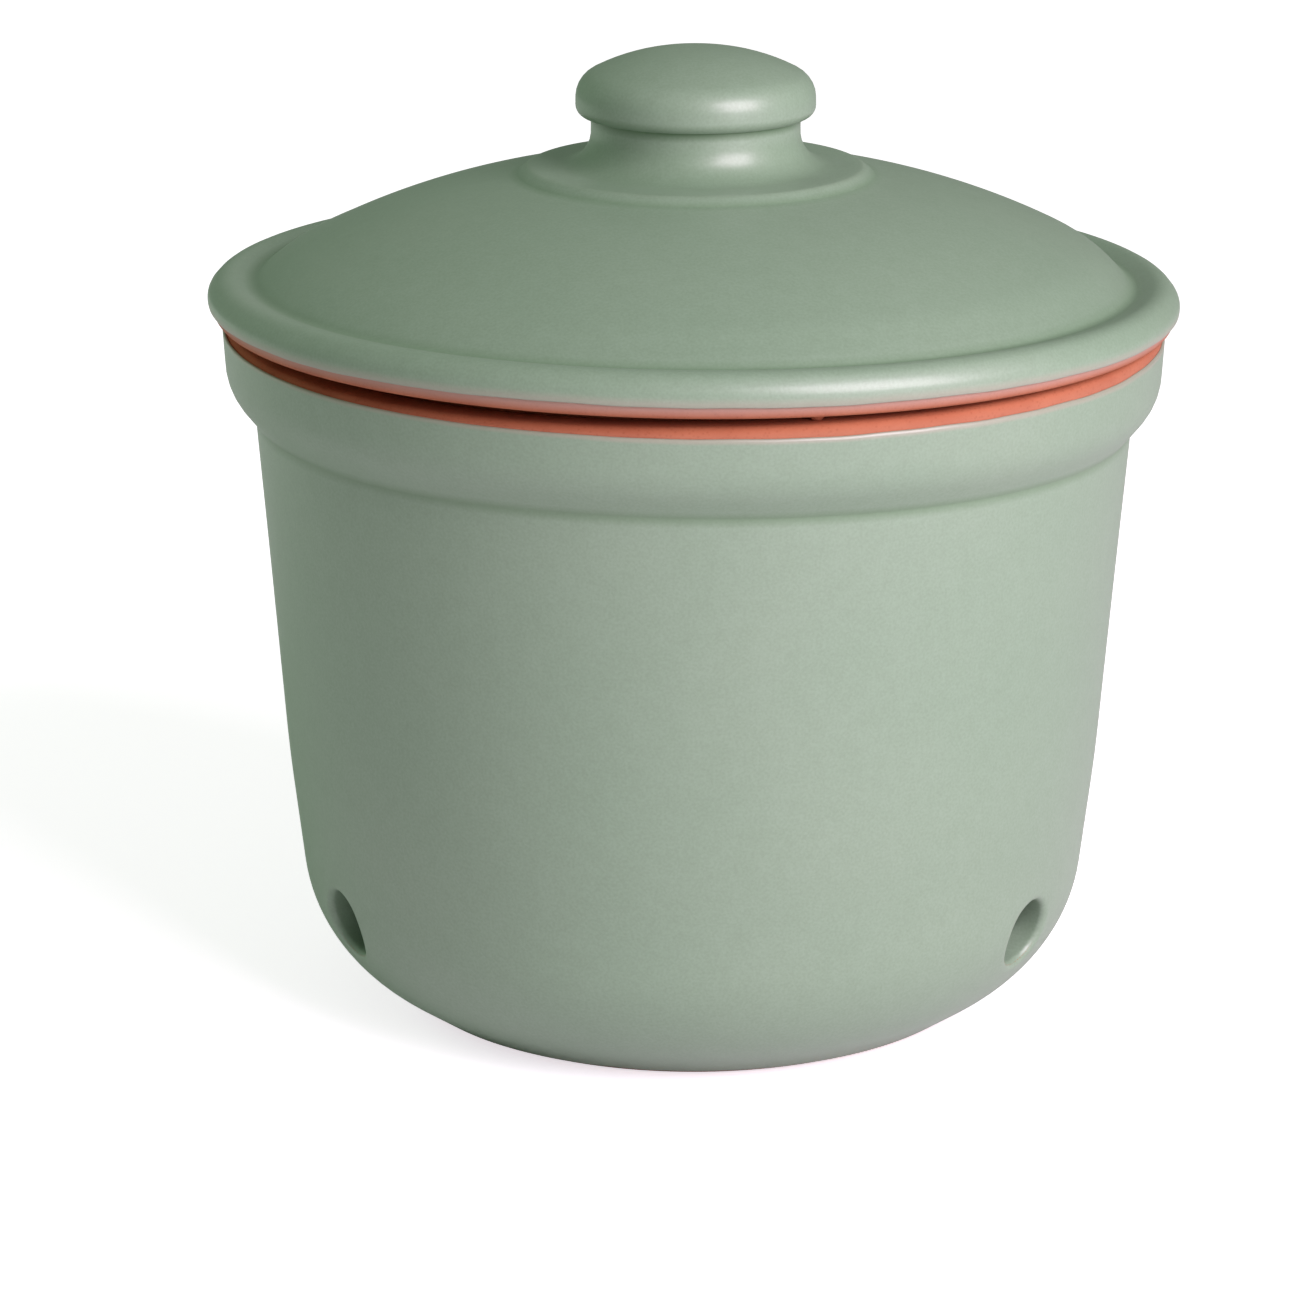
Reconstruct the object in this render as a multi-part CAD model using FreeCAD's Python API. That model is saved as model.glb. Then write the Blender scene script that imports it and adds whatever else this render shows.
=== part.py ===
# Stoneware crock with a knobbed lid, for keeping onions.
# Millimetres, +Z up, origin on the table at the middle of the underside.
# The clay pieces are turned about the upright axis, and a thin coat of glaze covers their outsides.
# The underside, the two edges that meet under the lid, and all insides stay bare clay.

import FreeCAD, Part
import math
import os

Vector = FreeCAD.Vector

# Glaze
glazeThickness = 0.6
glazeFootClear = 1.6        # bare strip between the table and the lower end of the glaze

# Pot, outside, at the glazed surface
footRadius = 69.2           # edge of the flat underside
footRound = 3.0
heelSpread = 25.1           # from the foot out to where the slope would meet the wall
heelHeight = 17.0
heelRound = 38.0
waistSpread = 5.3           # from the heel out to the point above which the wall leans a little less
waistHeight = 62.0
waistRound = 400.0
neckSpread = 6.5            # from the waist out to the top of the wall, under the collar
neckRound = 1.5

# Collar round the mouth, each step measured from the one below it
collarHeight = 147.5        # lower edge of the collar
collarStep = 5.9            # the collar flares out from the wall, and upwards by the rise
collarRise = 8.5
collarRound = 14.0
rimStep = 2.9
rimRise = 15.6
rimRound = 3.0
rimBareHeight = 3.9         # bare clay between the glaze and the top of the rim

# Pot, inside
wallThickness = 7.5
floorThickness = 8.0
floorRound = 12.0
rimWidth = 12.3             # from the outside of the rim in to the mouth
mouthRound = 3.0
mouthDepth = 14.0           # straight part of the mouth below the rim
shoulderDepth = 5.0         # slope from the mouth in to the wall, below the straight part
shoulderRound = 3.0

# Vent holes low in the wall
ventCount = 3
ventDiameter = 16.5
ventHeight = 29.0
ventTilt = 12.0             # degrees that a hole falls towards the outside
ventFirstAngle = 90.0       # degrees round from +X

# Lid
nubHeight = 1.4             # the lid stands on small nubs, so that air passes under it
nubDiameter = 3.4
nubCount = 3
nubFirstAngle = -73.5       # degrees round from +X
brimOverhang = 2.7          # the lid is this much wider than the rim all round
lipInset = 2.4              # the lip lies back from the widest line of the brim
lipRound = 2.4
lipBareHeight = 3.1         # bare clay edge below the glaze
brimSideHeight = 4.4        # above the lip's underside
brimSideRound = 2.6
brimHeight = 7.8
brimShoulder = 4.6          # from the widest line in to the edge of the ledge
brimEdgeRound = 2.4
ledgeWidth = 6.2            # ledge on the brim, from its edge in to the dome
ledgeDrop = 0.6
ledgeRound = 1.8            # where the ledge meets the dome
domeLowWidth = 7.8          # the dome's first slope, from the ledge inwards
domeLowRise = 5.2
domeLowRound = 90.0
domeMidWidth = 27.0         # its second slope
domeMidRise = 11.8
domeMidRound = 260.0
domeTopRise = 7.7           # its last slope, up to the edge of the knob's foot
lidThickness = 7.5
hollowRound = 6.0
hollowTopRound = 40.0
spigotClearance = 1.6       # between the locating ring and the mouth
spigotThickness = 6.0
spigotDepth = 9.0           # locating ring below the rim
spigotRound = 2.0

# Knob, one turned piece set on the flat top of the dome
knobNeckRadius = 25.1
knobNeckRound = 6.5
knobFootWidth = 16.7        # the foot spreads this far out from the neck
knobFootHeight = 1.6
knobFootRound = 1.2
knobCapOverhang = 3.5       # the cap stands out from the neck
knobCapLift = 13.9          # underside of the cap above the dome's flat top
knobGrooveRound = 0.6       # where the neck meets the cap
knobCapLipRound = 2.8
knobCapSideHeight = 8.7     # from the cap's underside to where its side would meet the top
knobCapSideRound = 6.5
knobShoulderWidth = 14.9    # slope of the cap's top, from its side inwards
knobShoulderRise = 7.5
knobShoulderRound = 50.0

# Radii that follow from the sizes above
heelRadius = footRadius + heelSpread
waistRadius = heelRadius + waistSpread
neckRadius = waistRadius + neckSpread
collarRadius = neckRadius + collarStep
rimRadius = collarRadius + rimStep
mouthRadius = rimRadius - rimWidth
brimRadius = rimRadius + brimOverhang
lipRadius = brimRadius - lipInset
brimEdgeRadius = brimRadius - brimShoulder
ledgeRadius = brimEdgeRadius - ledgeWidth
domeLowRadius = ledgeRadius - domeLowWidth
domeMidRadius = domeLowRadius - domeMidWidth
knobFootRadius = knobNeckRadius + knobFootWidth
knobCapRadius = knobNeckRadius + knobCapOverhang
knobShoulderRadius = knobCapRadius - knobShoulderWidth
clearRadius = brimRadius + wallThickness    # past everything, for cutting tools

# Heights that follow from the sizes above
collarTopHeight = collarHeight + collarRise
rimHeight = collarTopHeight + rimRise
rimGlazeHeight = rimHeight - rimBareHeight
lipHeight = rimHeight + nubHeight
lipGlazeHeight = lipHeight + lipBareHeight
brimEdgeHeight = lipHeight + brimHeight
ledgeHeight = brimEdgeHeight - ledgeDrop
domeLowHeight = ledgeHeight + domeLowRise
domeMidHeight = domeLowHeight + domeMidRise
domeTopHeight = domeMidHeight + domeTopRise
knobCapLowHeight = domeTopHeight + knobCapLift
knobCapSideTop = knobCapLowHeight + knobCapSideHeight
totalHeight = knobCapSideTop + knobShoulderRise


# A point on the line and its direction, for the line from start to end moved to its left
def shiftedLine(start, end, inset):
    along = Vector(end[0] - start[0], 0, end[1] - start[1]).normalize()
    left = Vector(-along.z, 0, along.x)
    return Vector(start[0], 0, start[1]) + left * inset, along


def crossing(lineA, lineB):
    pointA, alongA = lineA
    pointB, alongB = lineB
    between = pointB - pointA
    across = alongA.x * alongB.z - alongA.z * alongB.x
    step = (between.x * alongB.z - between.z * alongB.x) / across
    return pointA + alongA * step


def turnsLeft(corners, index):
    before, here, after = corners[index - 1:index + 2]
    inward = (here[0] - before[0], here[1] - before[1])
    onward = (after[0] - here[0], after[1] - here[1])
    return inward[0] * onward[1] - inward[1] * onward[0] > 0


# Corners of an outline (radius, height, round) after each side moves inwards by its own inset.
# Outlines start and end on the axis and run with the material on their left, so outer rounds
# shrink and inner rounds grow.
def insetCorners(corners, insets):
    lines = []
    for index, inset in enumerate(insets):
        lines.append(shiftedLine(corners[index], corners[index + 1], inset))
    axis = (Vector(0, 0, 0), Vector(0, 0, 1))
    start = crossing(lines[0], axis)
    end = crossing(lines[-1], axis)
    moved = [(0, start.z, 0)]
    for index in range(1, len(corners) - 1):
        point = crossing(lines[index - 1], lines[index])
        change = max(insets[index - 1], insets[index])
        if turnsLeft(corners, index):
            change = -change
        moved.append((point.x, point.z, corners[index][2] + change))
    moved.append((0, end.z, 0))
    return moved


# Lines through the corners of an outline, with an arc of its own radius at each corner
def roundedEdges(corners):
    points = [Vector(radius, 0, height) for radius, height, bend in corners]
    edges = []
    pen = points[0]
    for index in range(1, len(corners) - 1):
        here = points[index]
        bend = corners[index][2]
        start = here
        if bend > 0:
            inward = (points[index - 1] - here).normalize()
            onward = (points[index + 1] - here).normalize()
            halfAngle = inward.getAngle(onward) / 2
            reach = bend / math.tan(halfAngle)
            start = here + inward * reach
            end = here + onward * reach
            middle = here + (inward + onward).normalize() * (bend / math.sin(halfAngle) - bend)
        if (start - pen).Length > 1e-6:
            edges.append(Part.LineSegment(pen, start).toShape())
        pen = start
        if bend > 0:
            edges.append(Part.Arc(start, middle, end).toShape())
            pen = end
    edges.append(Part.LineSegment(pen, points[-1]).toShape())
    return edges


# Solid of revolution from an outline whose two ends lie on the axis
def turned(corners):
    edges = roundedEdges(corners)
    start = Vector(corners[0][0], 0, corners[0][1])
    end = Vector(corners[-1][0], 0, corners[-1][1])
    edges.append(Part.LineSegment(end, start).toShape())
    face = Part.Face(Part.Wire(edges))
    return face.revolve(Vector(0, 0, 0), Vector(0, 0, 1), 360)


def band(low, high):
    return Part.makeCylinder(clearRadius, high - low, Vector(0, 0, low))


def anglesRound(count, firstAngle):
    return [firstAngle + index * 360.0 / count for index in range(count)]


# Outside of the pot up to its rim, with the glazed sides moved in by glaze
def potOutside(glaze):
    corners = [
        (0, 0, 0),
        (footRadius, 0, footRound),
        (heelRadius, heelHeight, heelRound),
        (waistRadius, waistHeight, waistRound),
        (neckRadius, collarHeight, neckRound),
        (collarRadius, collarTopHeight, collarRound),
        (rimRadius, rimHeight, rimRound),
        (0, rimHeight, 0),
    ]
    insets = [0, glaze, glaze, glaze, glaze, glaze, 0]
    return insetCorners(corners, insets)


# Inside of the pot from the rim down to the middle of the floor, one wall thickness from the outside
def potInside():
    foot = (footRadius, 0)
    heel = (heelRadius, heelHeight)
    waist = (waistRadius, waistHeight)
    neck = (neckRadius, collarHeight)
    slopeLine = shiftedLine(foot, heel, wallThickness)
    lowerLine = shiftedLine(heel, waist, wallThickness)
    upperLine = shiftedLine(waist, neck, wallThickness)
    floorLine = (Vector(0, 0, floorThickness), Vector(1, 0, 0))
    mouthLow = rimHeight - mouthDepth
    shoulderLine = (Vector(0, 0, mouthLow - shoulderDepth), Vector(1, 0, 0))
    shoulder = crossing(upperLine, shoulderLine)
    insideWaist = crossing(lowerLine, upperLine)
    insideHeel = crossing(slopeLine, lowerLine)
    floorEdge = crossing(floorLine, slopeLine)
    return [
        (mouthRadius, rimHeight, mouthRound),
        (mouthRadius, mouthLow, shoulderRound),
        (shoulder.x, shoulder.z, shoulderRound),
        (insideWaist.x, insideWaist.z, waistRound - wallThickness),
        (insideHeel.x, insideHeel.z, heelRound - wallThickness),
        (floorEdge.x, floorEdge.z, floorRound),
        (0, floorThickness, 0),
    ]


# Rods along the vent holes, from inside the pot out through the wall
def ventRods(diameter):
    tilt = math.radians(ventTilt)
    rods = []
    for angle in anglesRound(ventCount, ventFirstAngle):
        turn = math.radians(angle)
        outward = Vector(math.cos(turn), math.sin(turn), 0)
        way = outward * math.cos(tilt) - Vector(0, 0, math.sin(tilt))
        wallPoint = outward * heelRadius + Vector(0, 0, ventHeight)
        rods.append(Part.makeCylinder(diameter / 2, 6 * wallThickness, wallPoint - way * 3 * wallThickness, way))
    return rods


def makePot():
    clayForm = turned(potOutside(glazeThickness))
    clayBlank = turned(potOutside(glazeThickness)[:-1] + potInside())
    coat = turned(potOutside(0)).common(band(glazeFootClear, rimGlazeHeight)).cut(clayForm)
    body = clayBlank
    glaze = coat
    for rod in ventRods(ventDiameter + 2 * glazeThickness):
        glaze = glaze.fuse(clayBlank.common(rod))
        body = body.cut(rod)
    for rod in ventRods(ventDiameter):
        glaze = glaze.cut(rod)
    return body, glaze


# Outside of the lid from its lip to the flat top of the dome, with the glazed sides moved in by glaze
def lidOutside(glaze):
    corners = [
        (0, lipHeight, 0),
        (lipRadius, lipHeight, lipRound),
        (brimRadius, lipHeight + brimSideHeight, brimSideRound),
        (brimEdgeRadius, brimEdgeHeight, brimEdgeRound),
        (ledgeRadius, ledgeHeight, ledgeRound),
        (domeLowRadius, domeLowHeight, domeLowRound),
        (domeMidRadius, domeMidHeight, domeMidRound),
        (knobFootRadius, domeTopHeight, 0),
        (0, domeTopHeight, 0),
    ]
    insets = [0, glaze, glaze, glaze, glaze, glaze, glaze, 0]
    return insetCorners(corners, insets)


# Underside of the lid, from the middle of the hollow out round the locating ring to the lip
def lidUnderside():
    domeLow = (domeLowRadius, domeLowHeight)
    domeMid = (domeMidRadius, domeMidHeight)
    domeTop = (knobFootRadius, domeTopHeight)
    outerLine = shiftedLine(domeLow, domeMid, lidThickness)
    innerLine = shiftedLine(domeMid, domeTop, lidThickness)
    hollowTop = domeTopHeight - lidThickness
    spigotRadius = mouthRadius - spigotClearance
    spigotInner = spigotRadius - spigotThickness
    spigotLow = rimHeight - spigotDepth
    top = crossing(innerLine, (Vector(0, 0, hollowTop), Vector(1, 0, 0)))
    middle = crossing(innerLine, outerLine)
    edge = crossing(outerLine, (Vector(spigotInner, 0, 0), Vector(0, 0, 1)))
    return [
        (0, hollowTop, 0),
        (top.x, top.z, hollowTopRound),
        (middle.x, middle.z, domeMidRound - lidThickness),
        (edge.x, edge.z, hollowRound),
        (spigotInner, spigotLow, spigotRound),
        (spigotRadius, spigotLow, spigotRound),
        (spigotRadius, lipHeight, spigotRound / 2),
    ]


# Nubs under the lip that stand on the flat of the rim
def seatNubs():
    flatInner = mouthRadius + mouthRound
    flatOuter = rimRadius - rimRound - glazeThickness
    nubRadius = (flatInner + flatOuter) / 2
    nubs = []
    for angle in anglesRound(nubCount, nubFirstAngle):
        turn = math.radians(angle)
        foot = Vector(nubRadius * math.cos(turn), nubRadius * math.sin(turn), rimHeight)
        nubs.append(Part.makeCylinder(nubDiameter / 2, nubHeight + lipBareHeight, foot))
    return nubs


# Knob from the edge of its foot to the axis, with the sides moved in by glaze
def knobOutside(glaze):
    base = domeTopHeight
    corners = [
        (0, base, 0),
        (knobFootRadius, base, 0),
        (knobFootRadius, base + knobFootHeight, knobFootRound),
        (knobNeckRadius, base + knobFootHeight, knobNeckRound),
        (knobNeckRadius, knobCapLowHeight, knobGrooveRound),
        (knobCapRadius, knobCapLowHeight, knobCapLipRound),
        (knobCapRadius, knobCapSideTop, knobCapSideRound),
        (knobShoulderRadius, totalHeight, knobShoulderRound),
        (0, totalHeight, 0),
    ]
    insets = [0, glaze, glaze, glaze, glaze, glaze, glaze, glaze]
    return insetCorners(corners, insets)


def makeLid():
    clayForm = turned(lidOutside(glazeThickness))
    body = turned(lidUnderside() + lidOutside(glazeThickness)[1:])
    for nub in seatNubs():
        body = body.fuse(nub)
    knob = turned(knobOutside(glazeThickness))
    coated = turned(lidOutside(0)).fuse(turned(knobOutside(0)))
    glaze = coated.common(band(lipGlazeHeight, totalHeight + 1)).cut(clayForm).cut(knob)
    return body.removeSplitter(), knob, glaze.removeSplitter()


def save(shape, name):
    solids = shape.Solids
    if len(solids) != 1:
        raise ValueError(name + " is not one solid")
    solids[0].exportStep("parts/" + name + ".step")
    box = solids[0].BoundBox
    print(name, "volume cm3", round(solids[0].Volume / 1000, 1), "z", round(box.ZMin, 2), round(box.ZMax, 2))


os.makedirs("parts", exist_ok=True)
potBody, potGlaze = makePot()
lidBody, lidKnob, lidGlaze = makeLid()
save(potBody, "pot_body")
save(potGlaze, "pot_glaze")
save(lidBody, "lid_body")
save(lidKnob, "lid_knob")
save(lidGlaze, "lid_glaze")
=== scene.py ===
import bpy
import math
from bisect import bisect_right
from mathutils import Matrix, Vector


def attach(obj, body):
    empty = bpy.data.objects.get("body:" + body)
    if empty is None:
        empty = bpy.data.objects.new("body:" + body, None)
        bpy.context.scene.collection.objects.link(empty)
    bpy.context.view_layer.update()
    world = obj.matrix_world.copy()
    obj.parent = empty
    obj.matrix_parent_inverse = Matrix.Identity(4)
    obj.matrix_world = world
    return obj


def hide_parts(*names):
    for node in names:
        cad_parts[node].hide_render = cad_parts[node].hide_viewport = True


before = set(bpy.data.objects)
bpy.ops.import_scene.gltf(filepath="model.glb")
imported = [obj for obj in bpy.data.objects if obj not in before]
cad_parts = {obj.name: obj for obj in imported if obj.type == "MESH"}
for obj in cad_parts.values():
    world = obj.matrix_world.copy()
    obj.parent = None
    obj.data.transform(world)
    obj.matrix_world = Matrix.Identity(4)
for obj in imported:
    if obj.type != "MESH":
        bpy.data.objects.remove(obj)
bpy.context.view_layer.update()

# Stoneware crock with a knobbed lid. All sizes are in mm, and become metres when a mesh is made.
mm = 0.001
tiny = 1e-6                     # a length below this is none
columns = 288                   # mesh columns round the crock, at most 2.6 mm apart
rowStep = 2.0                   # longest step between mesh rows
fineStep = 0.5                  # the same beside an edge of the glaze
fineReach = 3.0                 # how far beside the edge that is
rowLeast = 0.1                  # shortest step between mesh rows
rowTurn = math.radians(11)      # most that the outline turns between mesh rows
denseStep = 0.5                 # steps along an outline, before mesh rows are picked from it
denseTurn = math.radians(1.5)
bendReach = 1.0                 # the bend of an outline is averaged over this much each way


# Outlines are lists of (radius, height, round) with the material on their left, from the axis to the axis.

def shiftedLine(start, end, inset):
    dx, dz = end[0] - start[0], end[1] - start[1]
    length = math.hypot(dx, dz)
    dx, dz = dx / length, dz / length
    return (start[0] - dz * inset, start[1] + dx * inset, dx, dz)


def crossing(a, b):
    step = ((b[0] - a[0]) * b[3] - (b[1] - a[1]) * b[2]) / (a[2] * b[3] - a[3] * b[2])
    return (a[0] + a[2] * step, a[1] + a[3] * step)


def insetCorners(corners, insets):
    lines = [shiftedLine(corners[i], corners[i + 1], inset) for i, inset in enumerate(insets)]
    axis = (0, 0, 0, 1)
    leastRound = 0.05
    moved = [(0, crossing(lines[0], axis)[1], 0)]
    for i in range(1, len(corners) - 1):
        before, here, after = corners[i - 1:i + 2]
        x, z = crossing(lines[i - 1], lines[i])
        turn = (here[0] - before[0]) * (after[1] - here[1]) - (here[1] - before[1]) * (after[0] - here[0])
        change = max(insets[i - 1], insets[i])
        moved.append((x, z, max(here[2] - math.copysign(change, turn), leastRound)))
    moved.append((0, crossing(lines[-1], axis)[1], 0))
    return moved


# Angle brought to between minus and plus half a turn
def wrapped(angle):
    return (angle + math.pi) % (2 * math.pi) - math.pi


# Points close together along a rounded outline. The counts come from the model outline, so that two
# parallel outlines get matching points.
def densePoints(corners, model):
    points = []
    pen = (corners[0][0], corners[0][1])
    for i in range(1, len(corners)):
        x, z, bend = corners[i]
        last = i == len(corners) - 1
        if last or bend == 0:
            arc = [(x, z)]
        else:
            ax, az = corners[i - 1][0] - x, corners[i - 1][1] - z
            bx, bz = corners[i + 1][0] - x, corners[i + 1][1] - z
            la, lb = math.hypot(ax, az), math.hypot(bx, bz)
            ax, az, bx, bz = ax / la, az / la, bx / lb, bz / lb
            half = math.acos(max(-1, min(1, ax * bx + az * bz))) / 2
            reach = bend / math.tan(half)
            mx, mz = ax + bx, az + bz
            lm = math.hypot(mx, mz)
            cx, cz = x + mx / lm * bend / math.sin(half), z + mz / lm * bend / math.sin(half)
            startX, startZ = x + ax * reach, z + az * reach
            endX, endZ = x + bx * reach, z + bz * reach
            a0 = math.atan2(startZ - cz, startX - cx)
            sweep = wrapped(math.atan2(endZ - cz, endX - cx) - a0)
            steps = max(4, int(abs(sweep) / denseTurn), int(abs(sweep) * model[i][2] / denseStep))
            arc = []
            for k in range(steps + 1):
                at = a0 + sweep * k / steps
                arc.append((cx + bend * math.cos(at), cz + bend * math.sin(at)))
        run = math.dist(model[i][:2], model[i - 1][:2])
        steps = max(2, int(run / denseStep))
        for k in range(steps):
            t = k / steps
            points.append((pen[0] + (arc[0][0] - pen[0]) * t, pen[1] + (arc[0][1] - pen[1]) * t))
        points += arc[:-1]
        pen = arc[-1]
    points.append(pen)
    return points


# An outline with a front and a back skin, and the length and bend along the front
def makeOutline(frontCorners, backCorners=None):
    front = densePoints(frontCorners, frontCorners)
    back = densePoints(backCorners, frontCorners) if backCorners else front
    along = [0.0]
    for a, b in zip(front, front[1:]):
        along.append(along[-1] + math.dist(a, b))
    keep = [0] + [i for i in range(1, len(along)) if along[i] - along[i - 1] > tiny]
    outline = {"s": [along[i] for i in keep]}
    outline["front"] = [front[i] for i in keep]
    outline["back"] = [back[i] for i in keep]
    outline["bend"] = bendAlong(outline)
    return outline


# How sharply the outline turns, per mm: above zero on an edge, below zero in a corner
def bendAlong(outline):
    points, s = outline["front"], outline["s"]
    bends = [0.0] * len(points)
    for i in range(1, len(points) - 1):
        a = math.atan2(points[i][1] - points[i - 1][1], points[i][0] - points[i - 1][0])
        b = math.atan2(points[i + 1][1] - points[i][1], points[i + 1][0] - points[i][0])
        bends[i] = wrapped(b - a) / max(0.5 * (s[i + 1] - s[i - 1]), tiny)
    return bends


def spot(outline, s):
    i = min(max(bisect_right(outline["s"], s) - 1, 0), len(outline["s"]) - 2)
    t = (s - outline["s"][i]) / (outline["s"][i + 1] - outline["s"][i])
    return i, min(max(t, 0.0), 1.0)


# Radius and height at a length along the outline: depth 0 is on its front skin, 1 on its back skin
def pointAt(outline, s, depth=0.0):
    i, t = spot(outline, s)
    fx = outline["front"][i][0] * (1 - t) + outline["front"][i + 1][0] * t
    fz = outline["front"][i][1] * (1 - t) + outline["front"][i + 1][1] * t
    if depth == 0:
        return fx, fz
    bx = outline["back"][i][0] * (1 - t) + outline["back"][i + 1][0] * t
    bz = outline["back"][i][1] * (1 - t) + outline["back"][i + 1][1] * t
    return fx + (bx - fx) * depth, fz + (bz - fz) * depth


# Averaged, so that a mesh row sees the edge it stands beside
def bendAt(outline, s):
    low, high = bisect_right(outline["s"], s - bendReach), bisect_right(outline["s"], s + bendReach)
    part = outline["bend"][max(low, 0):max(high, low + 1)]
    return sum(part) / len(part)


# Where the outline first passes a height, counted from its start
def lengthAtHeight(outline, height, after=0.0):
    for i in range(len(outline["s"]) - 1):
        z0, z1 = outline["front"][i][1], outline["front"][i + 1][1]
        if outline["s"][i] >= after and min(z0, z1) <= height <= max(z0, z1) and z0 != z1:
            return outline["s"][i] + (height - z0) / (z1 - z0) * (outline["s"][i + 1] - outline["s"][i])
    raise ValueError("height not on the outline")


# Lengths at which mesh rows stand: close together in tight rounds and beside the named edges
def rowLengths(outline, start, end, edges=()):
    rows = [start]
    turned = 0.0
    for i, s in enumerate(outline["s"]):
        if s <= start or s >= end:
            continue
        turned += abs(outline["bend"][i]) * (s - outline["s"][i - 1])
        longest = fineStep if any(abs(s - edge) < fineReach for edge in edges) else rowStep
        if s - rows[-1] >= longest or (turned >= rowTurn and s - rows[-1] > rowLeast):
            rows.append(s)
            turned = 0.0
    if end - rows[-1] < 0.3 * rowStep and len(rows) > 1:
        rows.pop()
    return rows + [end]


# The slight unevenness of a fired pot, shared by all pieces so that they still meet. A change comes in
# between the two heights named Over and the two radii named At, or goes out where the first is larger.
warp = {
    "lean": 0.0115,             # the rim and lid settled lower on one side
    "leanOver": (60.0, 148.0),
    "waves": [(2, 0.16, 0.6, 0.006), (3, 0.10, 2.1, -0.011), (5, 0.05, 4.0, 0.023), (8, 0.025, 1.2, 0.041)],
    "wavesOver": (0.0, 30.0),
    "wavesAt": (0.0, 70.0),
    "collarBow": 0.9,           # the collar's lower edge is higher at the front and back than at the sides
    "collarOver": (110.0, 144.0), "collarEndOver": (167.0, 156.0),
    "rimLevel": 0.008,          # the rim's top edge is nearer level than its glaze line
    "rimDip": 1.4,              # and dips towards one side
    "dipAngle": math.radians(212),
    "rimOver": (167.0, 169.5),
    "lidTilt": 0.010,           # the lid sits a little higher at the front
    "lidLean": -0.003,          # and leans a little less than the pot
    "lidBow": 0.3,              # its brim bows up this far at the front and back, and down at the sides
    "brimTilt": 0.011,          # and the top of its brim is higher still at the front
    "brimOver": (173.0, 179.0), "brimAt": (98.0, 106.0),
    "domeLean": 0.008,          # the dome stands more upright than the brim
    "domeDrift": 0.5,           # the dome and the knob stand this far off the middle
    "domeOver": (176.0, 190.0),
}


def smooth(low, high, value):
    t = min(max((value - low) / (high - low), 0.0), 1.0)
    return t * t * (3 - 2 * t)


def lidDrop(x, y):
    bow = warp["lidBow"] * (x * x - y * y) / lidSizes["lip"][0] ** 2
    return warp["lidLean"] * x + warp["lidTilt"] * y + bow


# Where a point of the even shape ends up once the pot is fired
def settled(x, y, z, onLid):
    angle = math.atan2(y, x)
    radius = math.hypot(x, y)
    swell = sum(size * math.sin(count * angle + phase + z * climb)
                for count, size, phase, climb in warp["waves"])
    swell *= smooth(*warp["wavesAt"], radius) * smooth(*warp["wavesOver"], z)
    scale = 1 + swell / max(radius, 1.0)
    x, y = x * scale, y * scale
    rise = -warp["lean"] * x * smooth(*warp["leanOver"], z)
    onCollar = smooth(*warp["collarOver"], z) * smooth(*warp["collarEndOver"], z)
    rise -= warp["collarBow"] * math.cos(2 * angle) * onCollar
    if not onLid:
        dip = warp["rimDip"] * max(math.cos(angle - warp["dipAngle"]), 0) ** 2
        return x, y, z + rise + (warp["rimLevel"] * x - dip) * smooth(*warp["rimOver"], z)
    onDome = smooth(*warp["domeOver"], z)
    onBrim = smooth(*warp["brimAt"], radius) * smooth(*warp["brimOver"], z)
    rise += warp["domeLean"] * x * onDome - warp["brimTilt"] * y * onBrim - lidDrop(x, y)
    return x + warp["domeDrift"] * onDome, y, z + rise


# One closed mesh, built ring by ring
class Skin:
    def __init__(self, name, onLid=False):
        self.name = name
        self.onLid = onLid
        self.points = []
        self.faces = []
        self.thin = []          # 1 where the glaze ends or breaks over an edge, below 0 where it pools in a corner and is darkened as painted shade

    def add(self, x, y, z, thin=0.0):
        self.points.append((x, y, z))
        self.thin.append(thin)
        return len(self.points) - 1

    def strip(self, first, second):
        count = len(first)
        for k in range(count):
            n = (k + 1) % count
            self.faces.append((first[k], first[n], second[n], second[k]))

    def fan(self, ring, middle, flip):
        for k in range(len(ring)):
            n = (k + 1) % len(ring)
            self.faces.append((ring[n], ring[k], middle) if flip else (ring[k], ring[n], middle))

    def make(self, material):
        mesh = bpy.data.meshes.new(self.name)
        metres = [tuple(v * mm for v in settled(*p, self.onLid)) for p in self.points]
        mesh.from_pydata(metres, [], self.faces)
        mesh.validate()
        attribute = mesh.attributes.new("thin", "FLOAT", "POINT")
        attribute.data.foreach_set("value", self.thin)
        mesh.materials.append(material)
        mesh.shade_smooth()
        piece = bpy.data.objects.new(self.name, mesh)
        bpy.context.scene.collection.objects.link(piece)
        return piece


def angleOf(column):
    return 2 * math.pi * column / columns


# A glaze edge wiped by hand wanders a little: waves round the pot, size and phase
wander = [(3, 0.13, 0.4), (7, 0.09, 2.0), (17, 0.06, 1.1), (41, 0.04, 5.0)]
wanderReach = 6.0               # and the coat wanders with its edge this far in


def wobble(angle):
    return sum(size * math.sin(count * angle + phase) for count, size, phase in wander)


# One mesh row: a ring of points, or one point where it meets the axis
def ringOf(skin, place, thin):
    radius, height = place(0.0)
    if radius < 100 * tiny:
        return [skin.add(0, 0, height, thin)]
    ring = []
    for column in range(columns):
        angle = angleOf(column)
        radius, height = place(angle)
        ring.append(skin.add(radius * math.cos(angle), radius * math.sin(angle), height, thin))
    return ring


def joinRings(skin, rings, holes=()):
    cut = set()
    for hole in holes:
        for row in range(*hole["rows"]):
            for column in range(*hole["columns"]):
                cut.add((row, column % columns))
    for row in range(len(rings) - 1):
        low, high = rings[row], rings[row + 1]
        if len(low) == 1:
            skin.fan(high, low[0], flip=True)
            continue
        if len(high) == 1:
            skin.fan(low, high[0], flip=False)
            continue
        for column in range(columns):
            if (row, column) in cut:
                continue
            n = (column + 1) % columns
            skin.faces.append((low[column], low[n], high[n], high[column]))


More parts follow.
